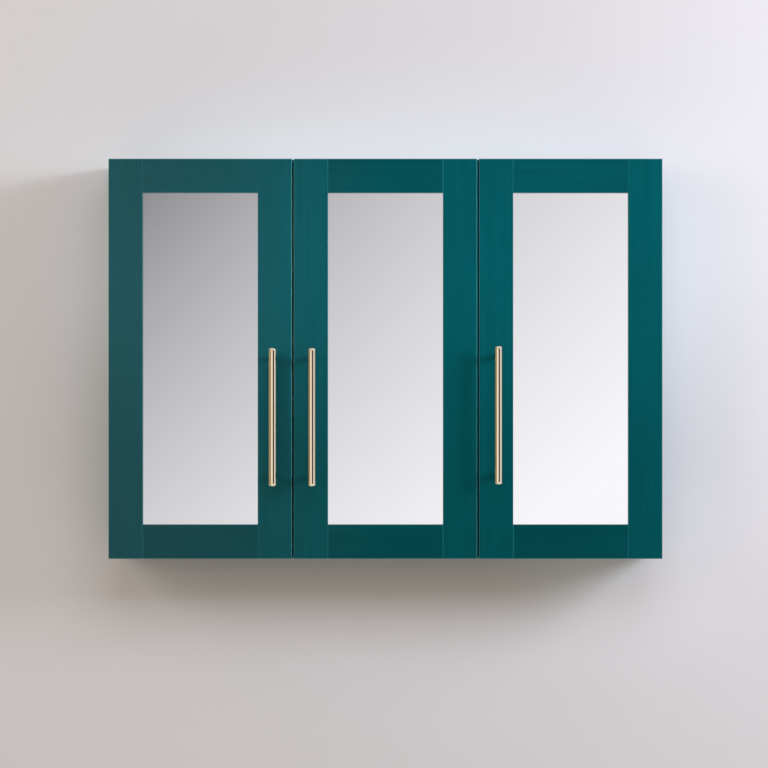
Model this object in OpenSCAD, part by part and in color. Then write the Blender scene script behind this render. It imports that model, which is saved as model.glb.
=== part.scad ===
/* [Cabinet] */
// Overall width across the three doors
body_w = 900; // [840:10:1000]
// Overall height of the doors and of the case behind them
body_h = 650; // [600:10:800]
// Depth of the case without the doors
body_d = 130; // [122:1:180]
// Thickness of the case boards
board_t = 18; // [16:0.5:19]
// Rounding along the front edges of the case boards
board_arris = 1; // [0.5:0.1:2]
// Thickness of the back panel
back_t = 4; // [3:0.5:6]
// Clear space between the back panel and the wall
back_inset = 16; // [14:1:20]
// Depth of the groove that holds the back panel
groove_depth = 7; // [5:0.5:8]

/* [Doors] */
// Gap between neighbouring doors
door_gap = 3; // [2.5:0.1:4]
// Gap between the closed doors and the case
back_gap = 2; // [1.9:0.1:3]
// Thickness of a door frame
door_t = 18; // [17.5:0.1:19]
// Width of the stiles and rails
frame_w = 55.5; // [52:0.5:70]
// Rounding along the outer edges of a door
door_arris = 1.5; // [1:0.1:2]
// Rounding along the edges next to the mirror
inner_arris = 0.6; // [0.3:0.1:1]
// Thickness of the frame lip in front of the mirror
lip_t = 6; // [5:0.5:7]
// How far the mirror reaches behind the lip
mirror_lap = 6; // [5:0.5:7]
// How far the backing board reaches over the frame
board_lap = 14; // [12:0.5:15]
// Thickness of the mirror
mirror_t = 4; // [3:0.5:5]
// Thickness of the backing board
backing_t = 5; // [4:0.5:6]
// Play around the mirror and the backing board in their rebates
rebate_play = 0.5; // [0.3:0.1:1]
// Length of the tenons on the rails
tenon_l = 20; // [12:1:24]
// Thickness of the tenons on the rails
tenon_t = 6; // [5:0.5:8]

/* [Handles] */
// Length of a handle bar
bar_l = 222; // [210:1:300]
// Diameter of a handle bar
bar_d = 12; // [10:0.5:16]
// Distance between the two posts of a handle
post_pitch = 192; // [96:32:192]
// Diameter of a handle post
post_d = 9; // [8:0.5:10]
// Distance from the door face to the middle of the bar
bar_reach = 29; // [24:1:40]
// Distance from the door's free edge to the middle of the bar
bar_inset = 30; // [24:1:36]
// Height of the middle of the bar above the door's bottom edge
bar_h = 230.5; // [180:0.5:400]
// How much higher the right door's handle sits
right_bar_lift = 3; // [0:0.5:5]
// Rounding at the ends of a handle bar
bar_arris = 1; // [0.5:0.1:2]

/* [Hinges] */
// Distance from a door's top or bottom edge to the hinge
hinge_inset = 100; // [80:5:140]
// Distance from the door's hinge edge to the hinge pivot
pivot_in = 7.5; // [7.3:0.1:7.6]
// Depth of the hinge pivot behind the door's back face
pivot_deep = 11; // [10.8:0.1:11.1]
// Diameter of the hinge pin
pin_d = 2.5; // [2:0.1:2.8]
// Outer diameter of the knuckle on the hinge arm
knuckle_d = 4.4; // [4:0.1:4.6]
// Width of the knuckle and the hook of the hinge arm
hook_w = 8; // [6:0.5:8.4]
// Sheet thickness of the hinge arm
arm_t = 2.2; // [1.8:0.1:2.4]
// Width of the hinge arm over the mounting plate
arm_w = 15; // [14:0.5:18]
// Distance from the hinge pivot to the straight shank of the arm
shank_out = 14.9; // [14.6:0.1:15.2]
// Height of the arm's middle above the board it is fixed to
arm_lift = 9.9; // [9:0.1:11]
// Diameter of the hinge cup
cup_d = 35; // [35:0.1:36]
// Depth of the hinge cup below the door's back face
cup_deep = 14.5; // [14.4:0.1:15]
// Wall and floor thickness of the hinge cup
cup_wall = 1; // [0.8:0.1:1]
// Distance from the door's hinge edge to the middle of the cup
cup_in = 20.5; // [20.4:0.1:20.6]
// Thickness of the cup's flange
flange_t = 1; // [0.8:0.1:1.2]
// Distance from the case's front edge to the plate screws
plate_in = 37; // [37:0.5:40]
// Distance between the two screws of a mounting plate
plate_pitch = 32; // [32:0.5:36]

/* [Shelves] */
// Thickness of the glass shelves
shelf_t = 6; // [5:0.5:8]
// Distance from the case's front edge to the front of a shelf
shelf_setback = 8; // [6:1:20]
// Side play of a shelf between the boards
shelf_play = 1.5; // [1:0.5:3]
// Gap between a shelf and the back panel
shelf_rear = 2; // [1:0.5:5]
// Diameter of the shelf pins
peg_d = 5; // [4:0.5:6]
// Spacing of the spare holes above and below a shelf pin
peg_pitch = 32; // [25:1:40]

/* [Hanging] */
// Distance from the top of the case down to the middle of the wall fixings
fixing_drop = 72; // [66:1:76]
// Distance from a side board's inner face to the middle of the hook
hook_offset = 24; // [24:1:30]
// Distance between the two screws of a wall plate
fixing_pitch = 20; // [18:0.5:24]
// Diameter of the wall screw holes
fixing_d = 5.5; // [4.5:0.1:6.5]
// Width of a wall plate
wall_plate_w = 44; // [40:1:46]
// Sheet thickness of a wall plate
wall_plate_t = 2; // [1.5:0.1:2.5]
// Thickness of the hanger hook
hook_t = 2.5; // [2:0.1:3]

/* [Hidden] */

// Doors: left, middle, right. The left one is hung on its left edge, the others on their right
LEFT = 0;
MIDDLE = 1;
RIGHT = 2;
door_w = (body_w - 2 * door_gap) / 3;
hinge_edge = [-body_w / 2, door_w / 2, body_w / 2];
opening_w = door_w - 2 * frame_w;
opening_h = body_h - 2 * frame_w;
hinge_heights = [hinge_inset, body_h - hinge_inset];

// The case
inner_w = body_w - 2 * board_t;
fixing_h = body_h - fixing_drop;
partition_x = door_w / 2 + door_gap / 2;
back_front = back_inset + back_t;
groove_play = 0.1;
panel_play = 0.5;
fit = 0.05;
overlay = [board_t, door_w / 2 - partition_x + board_t / 2, board_t];

// Shoulder of a rail beside its tenon
tenon_inset = 3;

// Dowels in the case joints
dowel_d = 8;
dowel_l = 30;
dowel_depth_in_face = 12;
dowel_end_play = 0.5;
dowel_inset = 28;
partition_dowel_inset = 14;

// Shelves
clear_h = body_h - 2 * board_t;
lower_shelf_z = board_t + clear_h / 3;
upper_shelf_z = board_t + 2 * clear_h / 3;
peg_inset = 20;
peg_hole_depth = 9;
peg_out = 9;
peg_collar_d = 8;
peg_collar_t = 1;
pad_w = 12;
pad_t = 2.5;
pad_sink = 1;
peg_drop = pad_t + peg_d / 2 - pad_sink;
shelf_back_arris = 1.5;

// Screws
screw_d = 3.2;
screw_head_d = 6.4;
screw_head_h = 1.7;
screw_end_play = 0.1;
frame_screw_l = 10;
side_screw_inset = 54;
cup_screw_l = 12;
cup_screw_pitch = 45;
cup_screw_out = 9.5;
wing_d = 11;
flange_over = 1.5;
cup_play = 0.1;
rim_relief = 3;
hook_side_play = 0.5;
drive_d = 2.4;
drive_deep = 1;
machine_screw_d = 4;
machine_head_d = 8;
machine_head_h = 2.4;
machine_grip = 9;
machine_play = 0.1;
plate_screw_d = 5;
plate_screw_l = 12;
plate_head_d = 7.6;
plate_head_h = 1.8;
arm_screw_l = 7.5;

// Mounting plate and arm
plate_base_t = 2;
plate_wing_d = 12;
plate_len = 40;
plate_arris = 1;
cheek_t = 1.5;
cheek_play = 0.2;
arm_half_l = 25;
arm_start = back_gap + plate_in - arm_half_l;
arm_end = back_gap + plate_in + arm_half_l;
arm_join = 1;
hook_bend = 3.5;
bend_step = 22.5;
hook_drop = 0.9;
shank_top = 3;

// Spring blade in the cup
blade_t = 0.6;
blade_w = 9;
blade_gap = 0.3;
blade_tip = 4;
blade_foot_end = 15;
blade_bend = 3;
blade_knee = 1;
rivet_out = 10.5;
rivet_d = 3.2;
rivet_h = 0.8;

// Bumpers
bumper_d = 10;
bumper_gap = 0.3;
bumper_crown = 0.6;
bumper_shoulder = 0.9;

// Hanging brackets
hanger_side = 2;
hanger_h = 52;
hanger_deep = 24;
hanger_arris = 3;
hanger_peg_d = 10;
hanger_peg_l = 11;
hanger_peg_pitch = 26;
hook_w_wall = 16;
hook_tip = 11;
hook_in = 14.4;
lip_gap = 4;
lip_h = 14;
plate_foot = 10;
plate_head = 8;
notch_play = 1;
notch_below = 10;
adjuster_d = 7;
adjuster_rim = 1.5;
adjuster_head = 1.5;
adjuster_l = 9;
adjuster_drop = 9;
adjuster_pitch = 14;

fine = 48;
coarse = 28;
eps = 0.01;

teal = [0.03, 0.33, 0.35];
panel_white = [0.86, 0.86, 0.84];
brass = [0.78, 0.68, 0.5];
steel = [0.72, 0.73, 0.74];

// Moves a piece from heights above the bottom of the case to heights from the wall fixings
module on_wall() {
    translate([0, 0, -fixing_h])
        children();
}

// Door frame of reference: x from the hinge edge, y from the door's back face, z from its bottom
module at_door(door) {
    on_wall()
        translate([hinge_edge[door], -body_d - back_gap, 0])
            mirror([door == LEFT ? 0 : 1, 0, 0])
                children();
}

// Repeats a piece at the two hinges of a door
module at_hinges(door) {
    at_door(door)
        for (z = hinge_heights)
            translate([0, 0, z])
                children();
}

// Turns a plan outline into a piece of the given width about its middle height
module slab(width) {
    translate([0, 0, -width / 2])
        linear_extrude(height = width)
            children();
}

// Lays a cylinder along y from y0 to y1
module rod_y(d, y0, y1) {
    translate([0, y0, 0])
        rotate([-90, 0, 0])
            cylinder(d = d, h = y1 - y0, $fn = coarse);
}

// Lays a cylinder along x from x0 to x1
module rod_x(d, x0, x1) {
    translate([x0, 0, 0])
        rotate([0, 90, 0])
            cylinder(d = d, h = x1 - x0, $fn = coarse);
}

// Rectangle from the origin with its two corners at x = 0 rounded
module one_round_side(w, t, r) {
    translate([r, 0])
        square([w - r, t]);
    translate([0, r])
        square([w, t - 2 * r]);
    for (y = [r, t - r])
        translate([r, y])
            circle(r = r, $fn = coarse);
}

// Rectangle from the origin with different rounding on its two sides
module two_round_sides(w, t, r_start, r_end) {
    intersection() {
        one_round_side(w, t, r_start);
        translate([w, 0])
            mirror([1, 0])
                one_round_side(w, t, r_end);
    }
}

// Rectangle about the origin with four round corners
module round_plate(w, h, r) {
    translate([-w / 2, -h / 2])
        two_round_sides(w, h, r, r);
}

// Points of a bend about a centre
function bend_points(centre, r, from, to) =
    [for (a = [from : bend_step : to]) centre + r * [cos(a), sin(a)]];

// Unit vector across the run from a to b
function across(a, b) = [a[1] - b[1], b[0] - a[0]] / norm(b - a);

// Point i of a line moved sideways, on the mitre between its two runs
function side_point(points, i, off) =
    let (last = len(points) - 1,
        before = max(i, 1),
        after = min(i, last - 1),
        n = across(points[before - 1], points[before]) + across(points[after], points[after + 1]))
    points[i] + 2 * off * n / (n * n);

// Bent strip of even thickness along the given points
module strip(points, t) {
    last = len(points) - 1;
    polygon(concat([for (i = [0 : last]) side_point(points, i, t / 2)],
        [for (i = [last : -1 : 0]) side_point(points, i, -t / 2)]));
}

// Countersunk screw along y, its head flush with y = 0 and its point towards negative y
module wood_screw(l) {
    difference() {
        union() {
            rod_y(screw_d, -l, 0);
            countersink(0);
        }
        rod_y(drive_d, -drive_deep, eps);
    }
}

// Cone of a countersunk head, larger all round by the given play
module countersink(play) {
    translate([0, eps, 0])
        rotate([90, 0, 0])
            cylinder(d1 = screw_head_d + 2 * play, d2 = screw_d + 2 * play,
                h = screw_head_h, $fn = coarse);
}

// Hole for a countersunk screw
module wood_screw_hole(l) {
    rod_y(screw_d + 2 * fit, -l - 2 * fit, 2 * eps);
    countersink(fit);
}

// Places for the dowels along the depth of the case
dowel_ys = [-dowel_inset, -body_d + dowel_inset];
partition_dowel_ys = [-back_front - partition_dowel_inset, -body_d + dowel_inset];

module side_dowels(play) {
    for (side = [-1, 1])
        for (z = [board_t / 2, body_h - board_t / 2])
            for (y = dowel_ys)
                translate([side * inner_w / 2, y, z])
                    rotate([0, 90, 0])
                        translate([0, 0, side > 0 ? dowel_depth_in_face - dowel_l : -dowel_depth_in_face])
                            dowel(play);
}

module partition_dowels(play) {
    for (top = [0, 1])
        for (y = partition_dowel_ys)
            translate([partition_x, y, top ? body_h - board_t : board_t])
                translate([0, 0, top ? dowel_depth_in_face - dowel_l : -dowel_depth_in_face])
                    dowel(play);
}

module dowel(play) {
    end = play > 0 ? dowel_end_play : 0;
    translate([0, 0, -end])
        cylinder(d = dowel_d + 2 * play, h = dowel_l + 2 * end, $fn = coarse);
}

module carcass_dowels() {
    color("burlywood")
        on_wall() {
            side_dowels(0);
            partition_dowels(0);
        }
}

// Groove for the back panel, around the inside of the case
module back_groove() {
    width = inner_w + 2 * groove_depth;
    height = clear_h + 2 * groove_depth;
    translate([-width / 2, -back_front - groove_play, board_t - groove_depth])
        cube([width, back_t + 2 * groove_play, height]);
}

// Pin holes beside each shelf, at the pin itself and one step above and below
module peg_holes(face_x, into) {
    for (z = [lower_shelf_z, upper_shelf_z])
        for (step = [-1, 0, 1])
            for (y = peg_ys)
                translate([face_x, y, z - peg_drop + step * peg_pitch])
                    rod_x(peg_d + 2 * fit, into < 0 ? -peg_hole_depth : -eps,
                        into < 0 ? eps : peg_hole_depth);
}

shelf_front = -body_d + shelf_setback;
shelf_back = -back_front - shelf_rear;
peg_ys = [shelf_front + peg_inset, shelf_back - peg_inset];

// Blank of an upright board with a round front edge, from its left face
module upright(h, depth) {
    translate([0, -body_d, 0])
        linear_extrude(height = h)
            translate([0, depth])
                rotate(-90)
                    one_round_front(depth, board_t);
}

// Rectangle with its far side rounded, length first
module one_round_front(l, t) {
    translate([l, 0])
        mirror([1, 0])
            one_round_side(l, t, board_arris);
}

module side_panel(side) {
    color(teal)
        on_wall()
            difference() {
                translate([side < 0 ? -body_w / 2 : inner_w / 2, 0, 0])
                    upright(body_h, body_d);
                back_groove();
                side_dowels(fit);
                peg_holes(side * inner_w / 2, side);
                translate([side * inner_w / 2, 0, hanger_z])
                    hanger_pegs(side, fit);
                plate_screw_holes(side < 0 ? LEFT : RIGHT);
            }
}

module left_side_panel() {
    side_panel(-1);
}

module right_side_panel() {
    side_panel(1);
}

// Blank of a flat board between the sides, from its underside
module flat_board() {
    translate([inner_w / 2, 0, 0])
        rotate([0, -90, 0])
            linear_extrude(height = inner_w)
                translate([0, -body_d])
                    translate([board_t, 0])
                        rotate(90)
                            one_round_side(body_d, board_t, board_arris);
}

module cross_panel(z) {
    color(teal)
        on_wall()
            difference() {
                translate([0, 0, z])
                    flat_board();
                back_groove();
                side_dowels(fit);
                partition_dowels(fit);
            }
}

module top_panel() {
    cross_panel(body_h - board_t);
}

module bottom_panel() {
    cross_panel(0);
}

module partition_panel() {
    color(teal)
        on_wall()
            difference() {
                translate([partition_x - board_t / 2, 0, board_t])
                    upright(clear_h, body_d - back_front);
                partition_dowels(fit);
                peg_holes(partition_x - board_t / 2, 1);
                peg_holes(partition_x + board_t / 2, -1);
                plate_screw_holes(MIDDLE);
            }
}

module back_panel() {
    width = inner_w + 2 * (groove_depth - panel_play);
    height = clear_h + 2 * (groove_depth - panel_play);
    color(panel_white)
        on_wall()
            difference() {
                translate([-width / 2, -back_front, board_t - groove_depth + panel_play])
                    cube([width, back_t, height]);
                for (side = [-1, 1])
                    translate([side * inner_w / 2, -back_front - eps, hook_z - notch_below])
                        mirror([side > 0 ? 1 : 0, 0, 0])
                            translate([-groove_depth, 0, 0])
                                cube([notch_w + groove_depth, back_t + 2 * eps, hanger_h]);
            }
}

// Glass shelf between two faces, its underside at the given height
module shelf(x0, x1, z) {
    color("lightcyan", 0.6)
        on_wall()
            translate([x1 - shelf_play, shelf_front, z])
                rotate([0, -90, 0])
                    linear_extrude(height = x1 - x0 - 2 * shelf_play)
                        translate([shelf_t, 0])
                            rotate(90)
                                two_round_sides(shelf_back - shelf_front, shelf_t,
                                    shelf_t / 2 - eps, shelf_back_arris);
}

wide_x0 = -inner_w / 2;
wide_x1 = partition_x - board_t / 2;
narrow_x0 = partition_x + board_t / 2;
narrow_x1 = inner_w / 2;

module wide_lower_shelf() {
    shelf(wide_x0, wide_x1, lower_shelf_z);
}

module wide_upper_shelf() {
    shelf(wide_x0, wide_x1, upper_shelf_z);
}

module narrow_lower_shelf() {
    shelf(narrow_x0, narrow_x1, lower_shelf_z);
}

module narrow_upper_shelf() {
    shelf(narrow_x0, narrow_x1, upper_shelf_z);
}

// One shelf pin: peg, collar and the flat pad under the glass
module shelf_pin() {
    translate([0, 0, -peg_drop]) {
        rod_x(peg_d, -peg_hole_depth + panel_play, peg_out);
        rod_x(peg_collar_d, 0, peg_collar_t);
    }
    translate([0, -pad_w / 2, -pad_t])
        cube([peg_out, pad_w, pad_t]);
}

module shelf_pins() {
    color(steel)
        on_wall()
            for (z = [lower_shelf_z, upper_shelf_z])
                for (y = peg_ys) {
                    for (x = [wide_x0, narrow_x0])
                        translate([x, y, z])
                            shelf_pin();
                    for (x = [wide_x1, narrow_x1])
                        translate([x, y, z])
                            mirror([1, 0, 0])
                                shelf_pin();
                }
}

// Hanging brackets, counted from the wall fixings
plate_top = fixing_pitch / 2 + plate_head;
lip_bottom = plate_top + wall_plate_t;
lip_top = lip_bottom + lip_h;
hook_z = fixing_h + lip_top + hook_t / 2;
hanger_z = body_h - board_t - hanger_h / 2;
hook_y = lip_gap / 2;
plate_x = inner_w / 2 - hook_offset;
hanger_w = hook_offset + hook_w_wall / 2 + hanger_side;
notch_w = hook_offset + hook_w_wall / 2 + notch_play;

module hanger_pegs(side, play) {
    for (z = [-hanger_peg_pitch / 2, hanger_peg_pitch / 2])
        translate([0, -back_front - hanger_deep / 2, z])
            rod_x(hanger_peg_d + 2 * play, side < 0 ? -hanger_peg_l - play : -eps,
                side < 0 ? eps : hanger_peg_l + play);
}

// Repeats a bracket piece in the left and right corner, x from the side panel towards the middle
module at_hangers() {
    on_wall()
        for (side = [-1, 1])
            mirror([side > 0 ? 1 : 0, 0, 0])
                translate([-inner_w / 2, 0, 0])
                    children();
}

module hook_path(play) {
    translate([hook_offset + hook_w_wall / 2 + play, 0, hook_z])
        rotate([90, 0, -90])
            linear_extrude(height = hook_w_wall + 2 * play)
                strip(concat([[back_front + hook_in, 0]],
                    bend_points([2 * hook_y, -hook_y], hook_y, 90, 180),
                    [[hook_y, -hook_tip]]), hook_t + 2 * play);
}

// Repeats a piece at the two adjuster screws, y from the front face of the bracket
module at_adjusters() {
    for (step = [0, 1])
        translate([hook_offset, -back_front - hanger_deep,
            hook_z - adjuster_drop - step * adjuster_pitch])
            children();
}

module hanger_bodies() {
    color("whitesmoke")
        at_hangers()
            difference() {
                union() {
                    translate([hanger_w / 2, -back_front, hanger_z])
                        rotate([90, 0, 0])
                            linear_extrude(height = hanger_deep)
                                round_plate(hanger_w, hanger_h, hanger_arris);
                    translate([0, 0, hanger_z])
                        hanger_pegs(-1, 0);
                }
                hook_path(fit);
                at_adjusters()
                    rod_y(adjuster_d + 2 * fit, -eps, adjuster_l + screw_end_play);
            }
}

module hanger_hooks() {
    color(steel)
        at_hangers()
            hook_path(0);
}

module hanger_adjusters() {
    color(steel)
        at_hangers()
            at_adjusters()
                difference() {
                    union() {
                        rod_y(adjuster_d, -eps, adjuster_l);
                        rod_y(adjuster_d + 2 * adjuster_rim, -adjuster_head, 0);
                    }
                    rod_y(drive_d, -adjuster_head - eps, drive_deep);
                }
}

// Wall plate: flat foot on the wall, stepped forward at the top into a lip for the hook
module wall_plates() {
    foot = -fixing_pitch / 2 - plate_foot;
    color(steel)
        for (side = [-1, 1])
            difference() {
                translate([side * plate_x - wall_plate_w / 2, 0, 0])
                    rotate([90, 0, 90])
                        linear_extrude(height = wall_plate_w) {
                            translate([-wall_plate_t, foot])
                                square([wall_plate_t, plate_top + wall_plate_t - foot]);
                            translate([-lip_gap - wall_plate_t, plate_top])
                                square([lip_gap + wall_plate_t, wall_plate_t]);
                            translate([-lip_gap - wall_plate_t, plate_top])
                                square([wall_plate_t, lip_h + wall_plate_t]);
                        }
                for (z = [-fixing_pitch / 2, fixing_pitch / 2])
                    translate([side * plate_x, 0, z])
                        rod_y(fixing_d, -wall_plate_t - eps, eps);
            }
}

// Height of the pivot axis and outline of the arm, seen from above in the door's frame of reference
shank_x = pivot_in + shank_out;
hook_floor = -pivot_deep - hook_drop;

module arm(door) {
    lift_x = overlay[door] + arm_lift;
    difference() {
        union() {
            slab(hook_w)
                strip(concat([[pivot_in, -pivot_deep]],
                    bend_points([shank_x - hook_bend, hook_floor + hook_bend], hook_bend, -90, 0),
                    [[shank_x, shank_top], [lift_x, arm_start], [lift_x, arm_start + arm_join]]),
                    arm_t);
            translate([pivot_in, -pivot_deep, -hook_w / 2])
                cylinder(d = knuckle_d, h = hook_w, $fn = fine);
            slab(arm_w)
                strip([[lift_x, arm_start], [lift_x, arm_end]], arm_t);
            for (z = [-1, 1])
                translate([0, 0, z * (arm_w - cheek_t) / 2])
                    slab(cheek_t)
                        translate([overlay[door] + plate_base_t + fit, arm_start])
                            square([arm_lift - plate_base_t - fit, arm_end - arm_start]);
        }
        translate([pivot_in, -pivot_deep, -hook_w])
            cylinder(d = pin_d + 2 * fit, h = 2 * hook_w, $fn = fine);
        arm_screw_place(door)
            rod_x(plate_screw_d + 2 * fit, -arm_t, arm_t);
    }
}

// Middle of the arm's sheet over the plate, where the clamping screw goes through
module arm_screw_place(door) {
    translate([overlay[door] + arm_lift, back_gap + plate_in, 0])
        children();
}

module hinge_arms() {
    color(steel)
        for (door = [LEFT, RIGHT])
            at_hinges(door)
                arm(door);
}

module cranked_hinge_arms() {
    color(steel)
        at_hinges(MIDDLE)
            arm(MIDDLE);
}

// Mounting plate on the face of a board: base with two wings and the block under the arm
module mounting_plate(door) {
    block_h = arm_lift - arm_t / 2 - fit;
    block_w = arm_w - 2 * cheek_t - 2 * cheek_play;
    translate([overlay[door], back_gap + plate_in, 0])
        difference() {
            rotate([90, 0, 90]) {
                linear_extrude(height = plate_base_t) {
                    square([plate_wing_d, plate_pitch], center = true);
                    for (z = [-plate_pitch / 2, plate_pitch / 2])
                        translate([0, z])
                            circle(d = plate_wing_d, $fn = fine);
                    round_plate(plate_len, block_w, plate_arris);
                }
                linear_extrude(height = block_h)
                    round_plate(plate_len, block_w, plate_arris);
            }
            for (z = [-plate_pitch / 2, plate_pitch / 2])
                translate([0, 0, z])
                    rod_x(plate_screw_d + 2 * fit, -eps, plate_base_t + eps);
            rod_x(plate_screw_d + 2 * fit, block_h - arm_screw_l, block_h + eps);
        }
}

module hinge_mounting_plates() {
    color(steel)
        for (door = [LEFT, MIDDLE, RIGHT])
            at_hinges(door)
                mounting_plate(door);
}

// Screw along x with a flat head on the face at x = 0 and its shank towards negative x
module plate_screw(l) {
    difference() {
        union() {
            rod_x(plate_screw_d, -l, eps);
            rod_x(plate_head_d, 0, plate_head_h);
        }
        rod_x(drive_d, plate_head_h - drive_deep, plate_head_h + eps);
    }
}

module hinge_plate_screws() {
    color(steel)
        for (door = [LEFT, MIDDLE, RIGHT])
            at_hinges(door) {
                for (z = [-plate_pitch / 2, plate_pitch / 2])
                    translate([overlay[door] + plate_base_t, back_gap + plate_in, z])
                        plate_screw(plate_base_t + plate_screw_l - screw_end_play);
                arm_screw_place(door)
                    translate([arm_t / 2, 0, 0])
                        plate_screw(arm_t + arm_screw_l - screw_end_play);
            }
}

// Holes in a board for the plate screws, already at the height of the case
module plate_screw_holes(door) {
    translate([0, 0, fixing_h])
        at_hinges(door)
            for (z = [-plate_pitch / 2, plate_pitch / 2])
                translate([overlay[door], back_gap + plate_in, z])
                    rod_x(plate_screw_d + 2 * fit, -plate_screw_l, eps);
}

// Door frame
module rebates() {
    for (step = [[mirror_lap, door_t - lip_t], [board_lap, door_t - lip_t - mirror_t]])
        translate([frame_w - step[0], -step[1], frame_w - step[0]])
            cube([opening_w + 2 * step[0], step[1] + eps, opening_h + 2 * step[0]]);
}

// Depth outline of the whole door with its rounded top and bottom edges
module door_edge_outline() {
    rotate([0, 90, 0])
        translate([0, 0, -eps])
            linear_extrude(height = door_w + 2 * eps)
                translate([-body_h, -door_t])
                    two_round_sides(body_h, door_t, door_arris, door_arris);
}

// Tenon of a rail, standing out to the left of x = 0
module tenon(play) {
    tenon_h = frame_w - board_lap - 2 * tenon_inset;
    translate([-tenon_l - play, -(door_t + tenon_t) / 2 - play, tenon_inset - play])
        cube([tenon_l + 2 * play + eps, tenon_t + 2 * play, tenon_h + 2 * play]);
}

// Both tenons of the bottom rail or of the top rail, in the door's frame of reference
module rail_tenons(top, play) {
    translate([0, 0, top ? body_h : 0])
        mirror([0, 0, top ? 1 : 0]) {
            translate([frame_w, 0, 0])
                tenon(play);
            translate([door_w - frame_w, 0, 0])
                mirror([1, 0, 0])
                    tenon(play);
        }
}

// Stile from its outer edge at x = 0
module stile_blank() {
    intersection() {
        translate([0, -door_t, 0])
            linear_extrude(height = body_h)
                two_round_sides(frame_w, door_t, door_arris, inner_arris);
        door_edge_outline();
    }
}

module hinge_stile(door) {
    color(teal)
        at_door(door)
            difference() {
                stile_blank();
                rebates();
                rail_tenons(false, fit);
                rail_tenons(true, fit);
                for (z = hinge_heights)
                    translate([cup_in, 0, z]) {
                        rod_y(cup_d, -cup_deep - fit, eps);
                        for (s = [-1, 1])
                            translate([cup_screw_out, flange_t, s * cup_screw_pitch / 2])
                                wood_screw_hole(flange_t + cup_screw_l);
                    }
                frame_screw_places()
                    rod_y(screw_d + 2 * fit, -frame_screw_l, eps);
            }
}

module handle_stile(door) {
    color(teal)
        at_door(door)
            difference() {
                translate([door_w, 0, 0])
                    mirror([1, 0, 0])
                        stile_blank();
                rebates();
                rail_tenons(false, fit);
                rail_tenons(true, fit);
                frame_screw_places()
                    rod_y(screw_d + 2 * fit, -frame_screw_l, eps);
                post_places(door) {
                    rod_y(machine_screw_d + 2 * machine_play, -door_t - eps, eps);
                    rod_y(machine_head_d + 2 * machine_play, -machine_head_h - machine_play, eps);
                }
            }
}

module rail(door, top) {
    color(teal)
        at_door(door)
            difference() {
                union() {
                    translate([frame_w + opening_w, 0, top ? body_h - frame_w : 0])
                        rotate([0, -90, 0])
                            linear_extrude(height = opening_w)
                                translate([0, -door_t])
                                    two_round_sides(frame_w, door_t,
                                        top ? inner_arris : door_arris,
                                        top ? door_arris : inner_arris);
                    rail_tenons(top, 0);
                }
                rebates();
                frame_screw_places()
                    rod_y(screw_d + 2 * fit, -frame_screw_l, eps);
            }
}

// Screws around the backing board, three up each side and one in each rail
screw_line = frame_w - board_lap / 2 - mirror_lap / 2;
board_face = -door_t + lip_t + mirror_t + backing_t;
side_screw_z = frame_w + side_screw_inset;
side_screw_zs = [side_screw_z, body_h / 2, body_h - side_screw_z];

module frame_screw_places() {
    for (x = [screw_line, door_w - screw_line])
        for (z = side_screw_zs)
            translate([x, board_face, z])
                children();
    for (z = [screw_line, body_h - screw_line])
        translate([door_w / 2, board_face, z])
            children();
}

module frame_screws(door) {
    color(steel)
        at_door(door) {
            frame_screw_places()
                wood_screw(frame_screw_l - screw_end_play);
            for (z = hinge_heights)
                for (s = [-1, 1])
                    translate([cup_in + cup_screw_out, flange_t, z + s * cup_screw_pitch / 2])
                        wood_screw(flange_t + cup_screw_l - screw_end_play);
        }
}

module mirror_glass(door) {
    reach = mirror_lap - rebate_play;
    color("silver")
        at_door(door)
            translate([frame_w - reach, -door_t + lip_t, frame_w - reach])
                cube([opening_w + 2 * reach, mirror_t, opening_h + 2 * reach]);
}

module backing_board(door) {
    reach = board_lap - rebate_play;
    color("tan")
        at_door(door)
            difference() {
                translate([frame_w - reach, board_face - backing_t, frame_w - reach])
                    cube([opening_w + 2 * reach, backing_t, opening_h + 2 * reach]);
                frame_screw_places()
                    wood_screw_hole(frame_screw_l);
            }
}

// Handle
function bar_mid(door) = bar_h + (door == RIGHT ? right_bar_lift : 0);

module post_places(door) {
    for (s = [-1, 1])
        translate([door_w - bar_inset, 0, bar_mid(door) + s * post_pitch / 2])
            children();
}

module handle_bar(door) {
    color(brass)
        at_door(door)
            translate([door_w - bar_inset, -door_t - bar_reach, bar_mid(door) - bar_l / 2])
                rotate_extrude($fn = fine)
                    intersection() {
                        translate([-bar_d / 2, 0])
                            two_round_sides(bar_d, bar_l, bar_arris, bar_arris);
                        square([bar_d, bar_l]);
                    }
}

module handle_posts(door) {
    color(brass)
        at_door(door)
            difference() {
                post_places(door)
                    rod_y(post_d, -door_t - bar_reach, -door_t);
                translate([door_w - bar_inset, -door_t - bar_reach, bar_mid(door) - bar_l / 2])
                    cylinder(d = bar_d + 2 * fit, h = bar_l, $fn = fine);
                post_places(door)
                    rod_y(machine_screw_d + 2 * fit, -door_t - machine_grip, -door_t + eps);
            }
}

module handle_screws(door) {
    color(steel)
        at_door(door)
            post_places(door)
                difference() {
                    union() {
                        rod_y(machine_screw_d, -door_t - machine_grip + fit, -machine_head_h);
                        rod_y(machine_head_d, -machine_head_h - fit, -fit);
                    }
                    rod_y(drive_d, -drive_deep - fit, 0);
                }
}

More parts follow.
